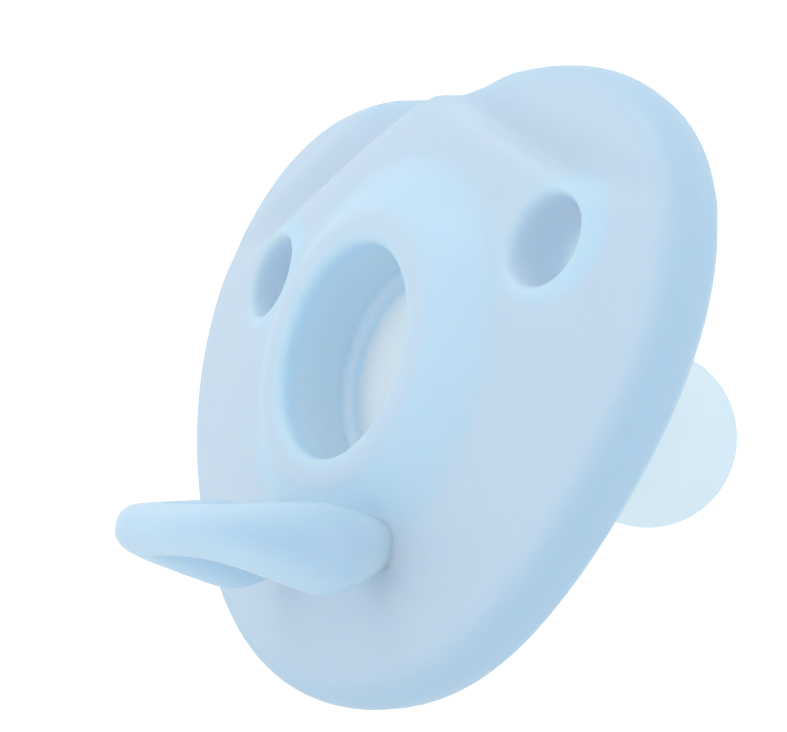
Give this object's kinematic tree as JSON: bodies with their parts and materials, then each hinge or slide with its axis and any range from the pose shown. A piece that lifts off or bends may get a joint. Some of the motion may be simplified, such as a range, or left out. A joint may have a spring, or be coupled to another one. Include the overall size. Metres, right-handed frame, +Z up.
{
  "type": "pacifier",
  "caption": "Soft one-piece silicone pacifier: a curved heart-shaped shield with vent holes, a hollow open-fronted nipple and a small flexible loop handle.",
  "frame": {"origin": "centre of the bounding box, on the plane that the two halves mirror across", "axes": "+X to the right of a viewer who faces the shield, +Y into the mouth along the nipple, +Z up as an upright baby wears it"},
  "size_m": [0.0516, 0.0422, 0.0398],
  "materials": {
    "shield_silicone": "satin translucent silicone",
    "handle_silicone": "satin translucent silicone",
    "nipple_silicone": "clear soft silicone"
  },
  "bodies": {
    "root": {"shield_plate": "shield_silicone", "shield_rim": "shield_silicone", "front_collar": "shield_silicone", "bore_sleeve": "shield_silicone", "bore_lip": "shield_silicone", "nipple_base": "nipple_silicone", "handle_root_left": "handle_silicone", "handle_root_right": "handle_silicone"},
    "handle": {"handle_limb_left": "handle_silicone", "handle_limb_right": "handle_silicone", "handle_bridge": "handle_silicone"},
    "neck": {"nipple_neck": "nipple_silicone"},
    "bulb": {"nipple_bulb": "nipple_silicone"}
  },
  "joints": [
    {"name": "handle_flex", "type": "hinge", "parent": "root", "child": "handle", "pos_m": [0, -0.01195, -0.01107], "axis": [-1, 0, 0], "range_deg": [-50, 60], "stiffness_Nm_per_rad": 0.01},
    {"name": "nipple_flex_up", "type": "hinge", "parent": "root", "child": "neck", "pos_m": [0, 0.00265, 0.00145], "axis": [1, 0, 0], "range_deg": [-20, 20], "stiffness_Nm_per_rad": 0.03},
    {"name": "nipple_flex_side", "type": "hinge", "parent": "neck", "child": "bulb", "pos_m": [0, 0.00915, 0.00145], "axis": [0, 0, 1], "range_deg": [-20, 20], "stiffness_Nm_per_rad": 0.03}
  ]
}
